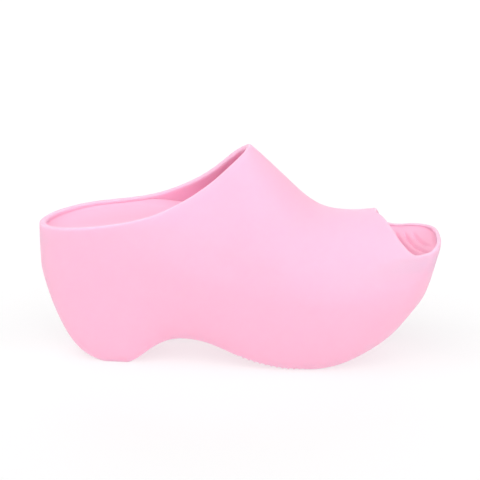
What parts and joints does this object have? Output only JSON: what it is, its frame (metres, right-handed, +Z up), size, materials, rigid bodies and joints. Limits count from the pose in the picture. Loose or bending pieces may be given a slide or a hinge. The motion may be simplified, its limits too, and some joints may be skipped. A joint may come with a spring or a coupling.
{
  "type": "platform clog slide",
  "caption": "Thick-soled slip-on clog moulded in one piece, with an open heel, a high pointed throat, a closed vamp, an open toe and an arched sole.",
  "frame": {"origin": "on the floor, under the middle of the bounding box", "axes": "+X to the toe, +Y to the inner side of the foot, +Z up"},
  "size_m": [0.27, 0.1001, 0.1455],
  "materials": {
    "foam": "soft matte moulded foam with a fine skin",
    "footbed": "soft matte moulded foam, slightly rougher"
  },
  "bodies": {
    "root": {"moulded_body": "foam", "insole": "footbed"}
  },
  "joints": []
}
